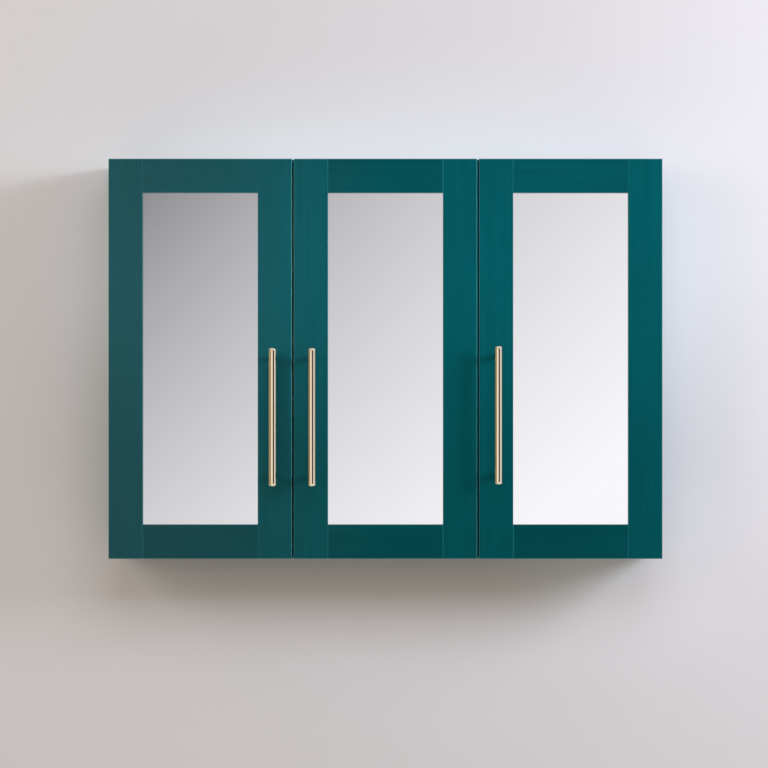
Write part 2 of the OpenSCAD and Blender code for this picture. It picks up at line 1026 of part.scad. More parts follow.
// Hinge cup with its flange and the pivot pin pressed through its walls
module cup() {
    pin_x = pivot_in - cup_in;
    relief_w = hook_w + 2 * hook_side_play;
    pin_l = 2 * sqrt(pow(cup_d / 2 - cup_wall / 2, 2) - pow(pin_x, 2));
    difference() {
        union() {
            rod_y(cup_d - 2 * cup_play, -cup_deep, eps);
            rotate([-90, 0, 0])
                linear_extrude(height = flange_t)
                    flange_outline();
        }
        rod_y(cup_d - 2 * cup_wall, -cup_deep + cup_wall, flange_t + eps);
        translate([-cup_d / 2, -rim_relief, -relief_w / 2])
            cube([cup_d / 2 + pin_x, rim_relief + flange_t + eps, relief_w]);
        for (s = [-1, 1])
            translate([cup_screw_out, flange_t, s * cup_screw_pitch / 2])
                wood_screw_hole(flange_t + cup_screw_l);
    }
    translate([pin_x, -pivot_deep, -pin_l / 2])
        cylinder(d = pin_d, h = pin_l, $fn = fine);
}

// Flange: a ring around the cup, cut straight above the pin, with two ears for the screws
module flange_outline() {
    ring_d = cup_d + 2 * flange_over;
    intersection() {
        circle(d = ring_d, $fn = fine);
        translate([pivot_in - cup_in, -ring_d / 2])
            square(ring_d);
    }
    for (s = [-1, 1])
        translate([cup_screw_out, s * cup_screw_pitch / 2])
            circle(d = wing_d, $fn = fine);
    translate([cup_screw_out - wing_d / 2, -cup_screw_pitch / 2])
        square([wing_d, cup_screw_pitch]);
}

module hinge_cups(door) {
    color(steel)
        at_hinges(door)
            translate([cup_in, 0, 0])
                cup();
}

// Spring blade: flat foot on the cup's floor, bent up to press on the back of the hook
module spring_blade() {
    blade_x = shank_x + arm_t / 2 + blade_gap + blade_t / 2;
    floor_y = -cup_deep + cup_wall + blade_t / 2;
    foot_x = cup_in + blade_foot_end - blade_t;
    slab(blade_w)
        strip([[foot_x, floor_y], [blade_x + blade_bend, floor_y],
            [blade_x + blade_knee, floor_y + blade_knee], [blade_x, floor_y + blade_bend],
            [blade_x + blade_t, -blade_tip]], blade_t);
    translate([cup_in + rivet_out, floor_y, 0])
        rod_y(rivet_d, 0, blade_t / 2 + rivet_h);
}

module hinge_springs(door) {
    color(steel)
        at_hinges(door)
            spring_blade();
}

// Domed pads on the back of the door, near its free corners
module bumpers(door) {
    pad_h = back_gap - bumper_gap;
    color("white", 0.8)
        at_door(door)
            for (z = [board_t / 2, body_h - board_t / 2])
                translate([door_w - board_t / 2, 0, z])
                    rotate([-90, 0, 0]) {
                        cylinder(d = bumper_d, h = pad_h - bumper_crown, $fn = fine);
                        translate([0, 0, pad_h - bumper_crown])
                            cylinder(d1 = bumper_d, d2 = bumper_d - 2 * bumper_shoulder,
                                h = bumper_crown, $fn = fine);
                    }
}

module left_hinge_stile() {
    hinge_stile(LEFT);
}

module left_handle_stile() {
    handle_stile(LEFT);
}

module left_top_rail() {
    rail(LEFT, true);
}

module left_bottom_rail() {
    rail(LEFT, false);
}

module left_mirror() {
    mirror_glass(LEFT);
}

module left_backing_board() {
    backing_board(LEFT);
}

module left_frame_screws() {
    frame_screws(LEFT);
}

module left_handle_bar() {
    handle_bar(LEFT);
}

module left_handle_posts() {
    handle_posts(LEFT);
}

module left_handle_screws() {
    handle_screws(LEFT);
}

module left_hinge_cups() {
    hinge_cups(LEFT);
}

module left_hinge_springs() {
    hinge_springs(LEFT);
}

module left_bumpers() {
    bumpers(LEFT);
}

module middle_hinge_stile() {
    hinge_stile(MIDDLE);
}

module middle_handle_stile() {
    handle_stile(MIDDLE);
}

module middle_top_rail() {
    rail(MIDDLE, true);
}

module middle_bottom_rail() {
    rail(MIDDLE, false);
}

module middle_mirror() {
    mirror_glass(MIDDLE);
}

module middle_backing_board() {
    backing_board(MIDDLE);
}

module middle_frame_screws() {
    frame_screws(MIDDLE);
}

module middle_handle_bar() {
    handle_bar(MIDDLE);
}

module middle_handle_posts() {
    handle_posts(MIDDLE);
}

module middle_handle_screws() {
    handle_screws(MIDDLE);
}

module middle_hinge_cups() {
    hinge_cups(MIDDLE);
}

module middle_hinge_springs() {
    hinge_springs(MIDDLE);
}

module middle_bumpers() {
    bumpers(MIDDLE);
}

module right_hinge_stile() {
    hinge_stile(RIGHT);
}

module right_handle_stile() {
    handle_stile(RIGHT);
}

module right_top_rail() {
    rail(RIGHT, true);
}

module right_bottom_rail() {
    rail(RIGHT, false);
}

module right_mirror() {
    mirror_glass(RIGHT);
}

module right_backing_board() {
    backing_board(RIGHT);
}

module right_frame_screws() {
    frame_screws(RIGHT);
}

module right_handle_bar() {
    handle_bar(RIGHT);
}

module right_handle_posts() {
    handle_posts(RIGHT);
}

module right_handle_screws() {
    handle_screws(RIGHT);
}

module right_hinge_cups() {
    hinge_cups(RIGHT);
}

module right_hinge_springs() {
    hinge_springs(RIGHT);
}

module right_bumpers() {
    bumpers(RIGHT);
}

left_side_panel();
right_side_panel();
top_panel();
bottom_panel();
partition_panel();
back_panel();
wide_lower_shelf();
wide_upper_shelf();
narrow_lower_shelf();
narrow_upper_shelf();
shelf_pins();
carcass_dowels();
hanger_bodies();
hanger_hooks();
hanger_adjusters();
wall_plates();
hinge_mounting_plates();
hinge_plate_screws();
hinge_arms();
cranked_hinge_arms();
left_hinge_stile();
left_handle_stile();
left_top_rail();
left_bottom_rail();
left_mirror();
left_backing_board();
left_frame_screws();
left_handle_bar();
left_handle_posts();
left_handle_screws();
left_hinge_cups();
left_hinge_springs();
left_bumpers();
middle_hinge_stile();
middle_handle_stile();
middle_top_rail();
middle_bottom_rail();
middle_mirror();
middle_backing_board();
middle_frame_screws();
middle_handle_bar();
middle_handle_posts();
middle_handle_screws();
middle_hinge_cups();
middle_hinge_springs();
middle_bumpers();
right_hinge_stile();
right_handle_stile();
right_top_rail();
right_bottom_rail();
right_mirror();
right_backing_board();
right_frame_screws();
right_handle_bar();
right_handle_posts();
right_handle_screws();
right_hinge_cups();
right_hinge_springs();
right_bumpers();
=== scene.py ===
import math
import bpy
import bmesh
from mathutils import Matrix, Vector


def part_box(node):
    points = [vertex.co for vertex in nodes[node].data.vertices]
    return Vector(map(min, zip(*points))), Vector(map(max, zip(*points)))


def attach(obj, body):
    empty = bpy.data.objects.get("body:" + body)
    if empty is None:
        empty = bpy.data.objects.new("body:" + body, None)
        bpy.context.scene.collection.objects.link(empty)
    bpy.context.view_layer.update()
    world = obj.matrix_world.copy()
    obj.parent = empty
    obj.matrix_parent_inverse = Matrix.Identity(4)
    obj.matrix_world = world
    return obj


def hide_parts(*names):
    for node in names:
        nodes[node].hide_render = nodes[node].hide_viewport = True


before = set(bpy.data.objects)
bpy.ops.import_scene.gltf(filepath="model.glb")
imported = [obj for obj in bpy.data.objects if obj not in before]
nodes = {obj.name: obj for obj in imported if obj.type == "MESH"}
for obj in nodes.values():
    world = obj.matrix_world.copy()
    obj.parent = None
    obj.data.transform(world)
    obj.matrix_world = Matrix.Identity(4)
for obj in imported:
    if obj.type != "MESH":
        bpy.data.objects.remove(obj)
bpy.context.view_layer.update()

mm = 0.001
doors = ("left", "middle", "right")

# where things are on the real cabinet, in mm; heights count from the bottom of the case
cabinet = {
    "bottom": -578.0,          # of the case, below the wall fixings
    "doorBack": -132.0,        # back face of the closed doors
    "doorThick": 18.0,
    "doorWidth": 298.0,
    "frameWidth": 55.5,
    # the edge each door hangs on, and which way it reaches from there
    "hingeEdge": {"left": (-450.0, 1), "middle": (149.0, -1), "right": (450.0, -1)},
    "hingeHeights": (100.0, 550.0),
}


def doorPoint(door, across, depth, height):
    # across from the hinge edge, depth from the back face towards the wall, height from the bottom
    edge, way = cabinet["hingeEdge"][door]
    return Vector((edge + way * across, cabinet["doorBack"] + depth, cabinet["bottom"] + height)) * mm


def addNode(tree, kind, inputs=None, **settings):
    node = tree.nodes.new(kind)
    for name, value in settings.items():
        setattr(node, name, value)
    for name, value in (inputs or {}).items():
        socket = node.inputs[name]
        if isinstance(value, bpy.types.NodeSocket):
            tree.links.new(value, socket)
        else:
            socket.default_value = value
    return node


def calc(tree, operation, a, b=0.0):
    return addNode(tree, "ShaderNodeMath", {0: a, 1: b}, operation=operation).outputs[0]


def plus(tree, a, b):
    return calc(tree, "ADD", a, b)


def times(tree, a, b):
    return calc(tree, "MULTIPLY", a, b)


def vectorCalc(tree, operation, *values):
    return addNode(tree, "ShaderNodeVectorMath", dict(enumerate(values)), operation=operation).outputs


def timesVector(tree, vector, factor):
    return addNode(tree, "ShaderNodeVectorMath", {0: vector, "Scale": factor}, operation="SCALE").outputs[0]


def axesOf(tree, vector):
    return addNode(tree, "ShaderNodeSeparateXYZ", {0: vector}).outputs


def largestOf(tree, vector):
    x, y, z = axesOf(tree, vector)
    return calc(tree, "MAXIMUM", calc(tree, "MAXIMUM", x, y), z)


usual = (0.3, 0.7)      # most values of a noise lie between these


def remap(tree, value, span=usual, into=(0.0, 1.0), kind="LINEAR"):
    # spreads the span over another one, and holds its ends beyond
    inputs = {"Value": value, "From Min": span[0], "From Max": span[1], "To Min": into[0], "To Max": into[1]}
    return addNode(tree, "ShaderNodeMapRange", inputs, interpolation_type=kind, clamp=True).outputs["Result"]


def eased(tree, value, span, into=(0.0, 1.0)):
    return remap(tree, value, span, into, "SMOOTHSTEP")


def mixColour(tree, factor, a, b, blend="MIX"):
    node = addNode(tree, "ShaderNodeMix", {0: factor, 6: a, 7: b}, data_type="RGBA", blend_type=blend)
    return node.outputs[2]


def stretched(tree, scale=(1.0, 1.0, 1.0), offset=(0.0, 0.0, 0.0)):
    coords = addNode(tree, "ShaderNodeTexCoord").outputs["Object"]
    inputs = {"Vector": coords, "Scale": scale, "Location": offset}
    return addNode(tree, "ShaderNodeMapping", inputs).outputs[0]


def noise(tree, where, scale, detail=2.0, rough=0.5):
    inputs = {"Vector": where, "Scale": scale, "Detail": detail, "Roughness": rough}
    return addNode(tree, "ShaderNodeTexNoise", inputs).outputs["Fac"]


def bump(tree, height, distance, strength, after=None):
    inputs = {"Height": height, "Distance": distance, "Strength": strength}
    if after is not None:
        inputs["Normal"] = after
    return addNode(tree, "ShaderNodeBump", inputs).outputs["Normal"]


def shaded(colour, factor):
    return tuple(part * factor for part in colour[:3]) + (1.0,)


def newFinish(name, inputs, clearBehind=False):
    # inputs(tree) makes the nodes and tells what goes into the surface
    material = bpy.data.materials.new(name)
    material.use_nodes = True
    tree = material.node_tree
    tree.nodes.clear()
    surface = addNode(tree, "ShaderNodeBsdfPrincipled", inputs(tree)).outputs[0]
    if clearBehind:
        clear = addNode(tree, "ShaderNodeBsdfTransparent").outputs[0]
        behind = addNode(tree, "ShaderNodeNewGeometry").outputs["Backfacing"]
        surface = addNode(tree, "ShaderNodeMixShader", {0: behind, 1: surface, 2: clear}).outputs[0]
    addNode(tree, "ShaderNodeOutputMaterial", {"Surface": surface})
    return material


def dress(node, material):
    mesh = nodes[node].data
    mesh.materials.clear()
    mesh.materials.append(material)


# paint: satin teal over open-grained wood; scales are per metre, depths and widths in metres
paint = {
    "deep": (0.0004, 0.0595, 0.0675, 1.0),
    "light": (0.0010, 0.0795, 0.0885, 1.0),
    "streak": 150.0,           # across the grain
    "along": 0.018,            # how far a streak is drawn out
    "streakSpan": (0.3, 0.72), "streakShare": (0.0, 0.7),
    "broad": 4.5, "broadShare": (0.0, 0.3),
    "leftSheen": 0.033,             # painted sheen: a little greyer towards the left
    "pore": 820.0, "poreSpan": (0.60, 0.74),
    "poreColour": (0.0, 0.042, 0.047, 1.0), "poreShade": 0.35,
    "poreDepth": 0.00012, "poreRough": 0.1,
    "peel": 650.0, "peelDepth": 0.00003,
    "edgeHighlight": (0.06, 0.27, 0.28, 1.0),         # painted highlight: lighter teal on the rounded edges, where they catch the light
    "edgeHighlightSpan": (0.03, 0.20),
    "roughness": (0.34, 0.46),
    "specular": 0.34,
    "sheen": (0.06, 0.80, 0.84, 1.0),
    "joint": (0.004, 0.17, 0.185, 1.0),       # fine line where the paint bridges a joint
    "jointWidth": 0.0008, "jointFade": (0.6, 1.4), "jointShade": 0.6,
    # how much of the line shows at the hinge stile and at the handle stile
    "jointShows": {
        "left": {"top": (0.0, 0.0), "bottom": (0.8, 0.2)},
        "middle": {"top": (1.4, 0.3), "bottom": (1.4, 0.9)},
        "right": {"top": (0.3, 0.1), "bottom": (0.9, 1.7)},
    },
    # painted shade: the rails are painted a little deeper than the stiles, because side light falls along
    # their grain
    "railPaintedShade": {
        "left": {"top": 0.96, "bottom": 0.84},
        "middle": {"top": 0.80, "bottom": 0.82},
        "right": {"top": 0.89, "bottom": 0.82},
    },
}


def edgeHighlightMask(tree):
    # 0 on flat faces, 1 on the rounded edges between them, where a highlight is painted
    normal = addNode(tree, "ShaderNodeTexCoord").outputs["Normal"]
    most = largestOf(tree, vectorCalc(tree, "ABSOLUTE", normal)[0])
    return remap(tree, calc(tree, "SUBTRACT", 1.0, most), paint["edgeHighlightSpan"])


def satinTeal(name, grainAxis, offset, paintedShade=1.0, joints=()):
    # painted shade for the rails darkens green and blue; 1 leaves the colour as it is
    def toned(colour):
        return (colour[0], colour[1] * paintedShade, colour[2] * paintedShade, 1.0)

    def inputs(tree):
        scale = [1.0, 1.0, 1.0]
        scale[grainAxis] = paint["along"]
        grain = stretched(tree, scale, offset)
        streaks = noise(tree, grain, paint["streak"], detail=4.0, rough=0.6)
        pores = noise(tree, grain, paint["pore"], rough=0.4)
        broad = noise(tree, stretched(tree, offset=offset), paint["broad"], detail=1.0)
        shade = plus(tree, remap(tree, streaks, paint["streakSpan"], paint["streakShare"]),
                     remap(tree, broad, into=paint["broadShare"]))
        dark = remap(tree, pores, paint["poreSpan"])
        colour = mixColour(tree, shade, toned(paint["deep"]), toned(paint["light"]))
        colour = mixColour(tree, times(tree, dark, paint["poreShade"]), colour, paint["poreColour"])
        # painted highlight: the rounded edges are painted lighter, as if catching the light
        colour = mixColour(tree, edgeHighlightMask(tree), colour, paint["edgeHighlight"])
        across = axesOf(tree, stretched(tree))[0]
        fade = [paint["jointWidth"] * part for part in paint["jointFade"]]
        for place, shows in joints:
            gap = calc(tree, "ABSOLUTE", calc(tree, "SUBTRACT", across, place))
            line = remap(tree, gap, fade, (min(1.0, paint["jointShade"] * shows), 0.0))
            colour = mixColour(tree, line, colour, paint["joint"])
        # painted sheen: red added towards the left makes the teal greyer there
        paintedLeftSheen = times(tree, calc(tree, "MINIMUM", across, 0.0), -paint["leftSheen"])
        paintedLeftSheen = addNode(tree, "ShaderNodeCombineColor", {"Red": paintedLeftSheen}).outputs[0]
        colour = mixColour(tree, 1.0, colour, paintedLeftSheen, "ADD")
        peel = noise(tree, stretched(tree), paint["peel"], detail=1.0)
        relief = bump(tree, times(tree, dark, -1.0), paint["poreDepth"], 0.7)
        relief = bump(tree, peel, paint["peelDepth"], 0.6, relief)
        rough = plus(tree, remap(tree, streaks, into=paint["roughness"]),
                     times(tree, dark, paint["poreRough"]))
        return {"Base Color": colour, "Roughness": rough, "Specular IOR Level": paint["specular"],
                "Specular Tint": paint["sheen"], "Normal": relief}
    return newFinish(name, inputs)


# case boards: teal outside and on the edges, white laminate inside, brown core in holes and grooves
board = {
    "teal": ((0.0006, 0.073, 0.083, 1.0), (0.0010, 0.082, 0.091, 1.0)),
    "white": ((0.74, 0.745, 0.73, 1.0), (0.70, 0.70, 0.685, 1.0)),
    "core": ((0.30, 0.19, 0.105, 1.0), (0.42, 0.29, 0.17, 1.0)),
    "skin": 0.0003,            # deeper than this is core
    "insideSpan": (0.6, 0.8),
    "mottle": 7.0, "fibre": 1400.0,
    "peel": 900.0, "peelDepth": 0.00003,
    "roughness": (0.38, 0.46), "coreRough": 0.4,
    "specular": 0.36,
}


def caseBoard(name, node, inward, bothSides=False):
    low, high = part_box(node)
    middle = (low + high) / 2
    half = (high - low) / 2 - Vector((1, 1, 1)) * board["skin"]

    def inputs(tree):
        coords = addNode(tree, "ShaderNodeTexCoord").outputs
        facing = vectorCalc(tree, "DOT_PRODUCT", coords["Normal"], inward)["Value"]
        if bothSides:
            facing = calc(tree, "ABSOLUTE", facing)
        inside = remap(tree, facing, board["insideSpan"])
        away = vectorCalc(tree, "SUBTRACT", coords["Object"], middle)[0]
        away = vectorCalc(tree, "ABSOLUTE", away)[0]
        away = vectorCalc(tree, "SUBTRACT", away, half)[0]
        core = calc(tree, "LESS_THAN", largestOf(tree, away), 0.0)
        plain = stretched(tree)
        mottle = noise(tree, plain, board["mottle"], detail=3.0)
        fibre = noise(tree, plain, board["fibre"], rough=0.7)
        teal = mixColour(tree, remap(tree, mottle), *board["teal"])
        white = mixColour(tree, remap(tree, mottle), *board["white"])
        raw = mixColour(tree, fibre, *board["core"])
        colour = mixColour(tree, core, mixColour(tree, inside, teal, white), raw)
        rough = plus(tree, remap(tree, mottle, into=board["roughness"]),
                     times(tree, core, board["coreRough"]))
        relief = bump(tree, noise(tree, plain, board["peel"], detail=1.0), board["peelDepth"], 0.5)
        sheen = mixColour(tree, calc(tree, "MAXIMUM", core, inside), paint["sheen"], (1.0, 1.0, 1.0, 1.0))
        return {"Base Color": colour, "Roughness": rough, "Specular IOR Level": board["specular"],
                "Specular Tint": sheen, "Normal": relief}
    return newFinish(name, inputs)


# thin pressed boards: a front face towards the room, brown fibre behind
pressed = {
    "frontWay": (0.0, -1.0, 0.0), "frontSpan": (0.4, 0.6),
    "fibre": 520.0, "fibreSpan": (0.35, 0.7),
    "fleck": 1.5,              # lighter flecks in the fibre
    "cloud": 9.0, "cloudShade": 0.8, "cloudShare": (0.0, 0.35), "frontShade": 0.95,
    "weave": 1500.0, "weaveStart": (3.1, 0.7, 1.9), "weaveDepth": 0.00006,
    "roughness": (0.5, 0.66), "specular": 0.3,
}


def pressedBoard(name, front, back):
    def inputs(tree):
        normal = addNode(tree, "ShaderNodeTexCoord").outputs["Normal"]
        facing = vectorCalc(tree, "DOT_PRODUCT", normal, pressed["frontWay"])["Value"]
        plain = stretched(tree)
        fibre = noise(tree, plain, pressed["fibre"], detail=4.0, rough=0.75)
        cloud = noise(tree, plain, pressed["cloud"])
        weave = noise(tree, stretched(tree, offset=pressed["weaveStart"]), pressed["weave"], detail=1.0)
        fleck = remap(tree, fibre, pressed["fibreSpan"])
        raw = mixColour(tree, fleck, back, shaded(back, pressed["fleck"]))
        raw = mixColour(tree, remap(tree, cloud, into=pressed["cloudShare"]), raw,
                        shaded(back, pressed["cloudShade"]))
        face = mixColour(tree, remap(tree, cloud), front, shaded(front, pressed["frontShade"]))
        return {"Base Color": mixColour(tree, remap(tree, facing, pressed["frontSpan"]), raw, face),
                "Roughness": remap(tree, fleck, (0.0, 1.0), pressed["roughness"]),
                "Specular IOR Level": pressed["specular"],
                "Normal": bump(tree, weave, pressed["weaveDepth"], 0.6)}
    return newFinish(name, inputs)


# metals: lines are brush marks per metre, and brush packs them closer along an axis
metals = {
    "BrushedBrass": {"colour": (0.96, 0.84, 0.64, 1.0), "tint": (0.93, 0.80, 0.59, 1.0),
                     "roughness": (0.045, 0.075), "brush": (1.0, 1.0, 8.0), "lines": 500.0,
                     "depth": 0.000003},
    "NickelPlate": {"colour": (0.66, 0.64, 0.60, 1.0), "tint": (0.60, 0.585, 0.56, 1.0),
                    "roughness": (0.20, 0.27), "brush": (1.0, 1.0, 1.0), "lines": 120.0,
                    "depth": 0.000006},
    "ZincPlate": {"colour": (0.62, 0.65, 0.68, 1.0), "tint": (0.56, 0.58, 0.62, 1.0),
                  "roughness": (0.30, 0.42), "brush": (1.0, 1.0, 1.0), "lines": 160.0,
                  "depth": 0.00001},
}


def plated(name):
    metal = metals[name]

    def inputs(tree):
        brush = noise(tree, stretched(tree, metal["brush"]), metal["lines"], detail=3.0, rough=0.6)
        smear = noise(tree, stretched(tree), 35.0, detail=3.0)
        shade = mixColour(tree, remap(tree, smear, (0.3, 0.75)), metal["colour"], metal["tint"])
        rough = plus(tree, remap(tree, brush, (0.25, 0.75), metal["roughness"]),
                     remap(tree, smear, (0.4, 0.8), (0.0, 0.05)))
        return {"Base Color": shade, "Metallic": 1.0, "Roughness": rough,
                "Normal": bump(tree, brush, metal["depth"], 0.6)}
    return newFinish(name, inputs)


def silveredMirror(name):
    def inputs(tree):
        haze = noise(tree, stretched(tree), 3.0)
        return {"Base Color": mixColour(tree, haze, (0.955, 0.955, 0.965, 1.0), (0.97, 0.97, 0.975, 1.0)),
                "Metallic": 1.0, "Roughness": remap(tree, haze, into=(0.0, 0.012))}
    return newFinish(name, inputs)


def shelfGlass(name):
    def inputs(tree):
        drift = noise(tree, stretched(tree), 5.0, detail=1.0)
        return {"Base Color": mixColour(tree, drift, (0.86, 0.965, 0.93, 1.0), (0.90, 0.975, 0.95, 1.0)),
                "Roughness": remap(tree, drift, into=(0.0, 0.015)), "IOR": 1.5, "Transmission Weight": 1.0}
    return newFinish(name, inputs)


plastics = {
    "WhitePlastic": {"colours": ((0.76, 0.765, 0.75, 1.0), (0.72, 0.725, 0.71, 1.0)),
                     "roughness": (0.36, 0.46), "clear": 0.0},
    "ClearPad": {"colours": ((0.82, 0.83, 0.82, 1.0), (0.78, 0.79, 0.78, 1.0)),
                 "roughness": (0.12, 0.2), "clear": 0.7},
}


def moulded(name):
    plastic = plastics[name]

    def inputs(tree):
        plain = stretched(tree)
        cloud = noise(tree, plain, 40.0)
        spark = noise(tree, plain, 2200.0, detail=1.0)
        return {"Base Color": mixColour(tree, remap(tree, cloud), *plastic["colours"]),
                "Roughness": remap(tree, cloud, into=plastic["roughness"]),
                "Transmission Weight": plastic["clear"], "IOR": 1.45,
                "Normal": bump(tree, spark, 0.00003, 0.5)}
    return newFinish(name, inputs)


def beech(name):
    def inputs(tree):
        fibre = noise(tree, stretched(tree, (0.05, 1.0, 1.0)), 700.0, detail=3.0)
        return {"Base Color": mixColour(tree, fibre, (0.55, 0.36, 0.19, 1.0), (0.70, 0.50, 0.30, 1.0)),
                "Roughness": remap(tree, fibre, into=(0.55, 0.7)), "Normal": bump(tree, fibre, 0.0001, 0.4)}
    return newFinish(name, inputs)


brass = plated("BrushedBrass")
nickel = plated("NickelPlate")
zinc = plated("ZincPlate")
whitePlastic = moulded("WhitePlastic")
clearPad = moulded("ClearPad")
dowelWood = beech("Beech")
mirrorSilver = silveredMirror("SilveredMirror")
glass = shelfGlass("ShelfGlass")
backHardboard = pressedBoard("BackPanelBoard", (0.72, 0.72, 0.70, 1.0), (0.21, 0.13, 0.07, 1.0))
doorHardboard = pressedBoard("DoorBackingBoard", (0.21, 0.13, 0.07, 1.0), (0.20, 0.125, 0.068, 1.0))
print("finishes made")

# painted door frames: the axis of the grain, upright on the stiles, and where its pattern starts
frameParts = {
    "hinge_stile": (2, 0.0), "handle_stile": (2, 1.3),
    "top_rail": (0, 2.6), "bottom_rail": (0, 3.9),
}
jointPlaces = (cabinet["frameWidth"], cabinet["doorWidth"] - cabinet["frameWidth"])

for index, door in enumerate(doors):
    for part, (axis, shift) in frameParts.items():
        node = f"{door}_{part}"
        offset = (0.37 * index + shift, 0.21 * shift, 0.53 * index + 0.7 * shift)
        end, kind = part.split("_")
        if kind == "rail":
            joints = [(doorPoint(door, across, 0.0, 0.0).x, share)
                      for across, share in zip(jointPlaces, paint["jointShows"][door][end])]
            # rails get their painted shade
            finish = satinTeal("Teal_" + node, axis, offset, paint["railPaintedShade"][door][end], joints)
        else:
            finish = satinTeal("Teal_" + node, axis, offset)
        dress(node, finish)
    dress(door + "_mirror", mirrorSilver)
    dress(door + "_backing_board", doorHardboard)
    for part in ("handle_posts", "handle_bar"):
        dress(f"{door}_{part}", brass)
    for part in ("hinge_cups", "hinge_springs"):
        dress(f"{door}_{part}", nickel)
    for part in ("frame_screws", "handle_screws"):
        dress(f"{door}_{part}", zinc)
    dress(door + "_bumpers", clearPad)
print("door pieces dressed")

dress("left_side_panel", caseBoard("LeftBoard", "left_side_panel", (1.0, 0.0, 0.0)))
dress("right_side_panel", caseBoard("RightBoard", "right_side_panel", (-1.0, 0.0, 0.0)))
dress("top_panel", caseBoard("TopBoard", "top_panel", (0.0, 0.0, -1.0)))
dress("bottom_panel", caseBoard("BottomBoard", "bottom_panel", (0.0, 0.0, 1.0)))
dress("partition_panel", caseBoard("PartitionBoard", "partition_panel", (1.0, 0.0, 0.0), True))
dress("back_panel", backHardboard)
for node in ("wide_lower_shelf", "wide_upper_shelf", "narrow_lower_shelf", "narrow_upper_shelf"):
    dress(node, glass)
for node in ("shelf_pins", "hinge_mounting_plates", "hinge_arms", "cranked_hinge_arms"):
    dress(node, nickel)
for node in ("hinge_plate_screws", "hanger_hooks", "hanger_adjusters", "wall_plates"):
    dress(node, zinc)
dress("hanger_bodies", whitePlastic)
dress("carcass_dowels", dowelWood)
print("case pieces dressed")


def meshPiece(name, build, material, body, smoothAngle=40.0):
    mesh = bpy.data.meshes.new(name)
    work = bmesh.new()
    build(work)
    bmesh.ops.recalc_face_normals(work, faces=work.faces)
    work.to_mesh(mesh)
    work.free()
    for face in mesh.polygons:
        face.use_smooth = True
    mesh.set_sharp_from_angle(angle=math.radians(smoothAngle))
    mesh.materials.append(material)
    piece = bpy.data.objects.new(name, mesh)
    bpy.context.scene.collection.objects.link(piece)
    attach(piece, body)
    return piece


def addRings(work, rings, place, turn):
    # a closed skin through rings of points in mm, from one end of the piece to the other
    made = [[work.verts.new(place + turn @ Vector([value * mm for value in point])) for point in ring]
            for ring in rings]
    count = len(made[0])
    for below, above in zip(made, made[1:]):
        for i in range(count):
            work.faces.new((below[i], below[(i + 1) % count], above[(i + 1) % count], above[i]))
    work.faces.new(tuple(reversed(made[0])))
    work.faces.new(tuple(made[-1]))


def circleRing(radius, height, count, start=0.0):
    angles = [start + 2 * math.pi * i / count for i in range(count)]
    return [(radius * math.cos(angle), radius * math.sin(angle), height) for angle in angles]


def crossRing(length, width, height):
    # outline of a cross drive with a point halfway along each side, in the order of a circle
    corners = [(length, -width), (length, width), (width, width), (width, length),
               (-width, length), (-width, width), (-length, width), (-length, -width),
               (-width, -width), (-width, -length), (width, -length), (width, -width)]
    ring = []
    for (x0, y0), (x1, y1) in zip(corners, corners[1:] + corners[:1]):
        ring += [(x0, y0, height), ((x0 + x1) / 2, (y0 + y1) / 2, height)]
    return ring


# cross-head screws in mm: a countersunk or pan head with its drive, and the shank below it
screwKinds = {
    "board": {"head": 3.15, "drop": 1.65, "rise": 0.0, "drive": (1.75, 0.42), "deep": 1.3,
              "shank": 1.5, "length": 9.6},
    "cup": {"head": 3.15, "drop": 1.65, "rise": 0.25, "drive": (1.75, 0.42), "deep": 1.3,
            "shank": 1.5, "length": 12.5},
    "bolt": {"head": 3.9, "drop": 0.2, "rise": 2.1, "drive": (2.0, 0.5), "deep": 1.6,
             "shank": 1.9, "length": 22.0},
}
screwSides = 24                # as many as the points of a cross drive's outline
screwTip = 2.0
headToWall = Vector((0, 0, 1)).rotation_difference(Vector((0, 1, 0))).to_matrix()


def addScrew(work, kind, seat, turned):
    # seat is where the head meets what it holds
    screw = screwKinds[kind]
    length, width = screw["drive"]
    head, top, shank = screw["head"], screw["rise"], screw["shank"]
    rim = -0.02 if top > 0.5 else -0.35
    outline = [(head * 0.80, top), (head * 0.94, top - max(0.12, 0.25 * top)),
               (head, top - max(0.3, 0.6 * top)), (head, rim), (shank * 1.02, -max(screw["drop"], 0.05)),
               (shank, -screw["length"] + screwTip), (shank * 0.3, -screw["length"])]
    start = math.atan2(-width, length)
    rings = [crossRing(length * 0.55, width * 0.6, top - screw["deep"]), crossRing(length, width, top)]
    rings += [circleRing(radius, height, screwSides, start) for radius, height in outline]
    addRings(work, rings, seat, headToWall @ Matrix.Rotation(turned, 3, "Z"))


# handle in mm: a solid round bar with chamfered, faced ends, on two posts
handle = {
    "radius": 6.0, "length": 222.0,
    "out": -29.0,              # from the door's front
    "across": 268.0, "middle": 230.5, "rightLift": 3.0,
    "sides": 64,
    "facing": ((1.2, 0.25), (1.5, 0.0)),      # radius and depth of the turned mark in each end
    "chamfer": 1.3,
    # the chamfer's steps in parts of its width, in from the side and down from the end
    "rounding": ((1.0, 0.0), (0.86, 0.02), (0.16, 0.72), (0.02, 0.9), (0.0, 1.0)),
    "bolts": (-96.0, 96.0), "boltDepth": -2.4,
}

# door screws in mm: across from the hinge edge and height, and how far their heads' seats lie from the back
doorScrews = {
    "board": [(across, height) for across in (45.5, 252.5) for height in (109.5, 325.0, 540.5)]
    + [(149.0, 45.5), (149.0, 604.5)],
    "boardDepth": -3.0,
    "cupAcross": 30.0, "cupSides": (-22.5, 22.5), "cupDepth": 0.95,
}


def handleMiddle(door):
    return handle["middle"] + (handle["rightLift"] if door == "right" else 0.0)


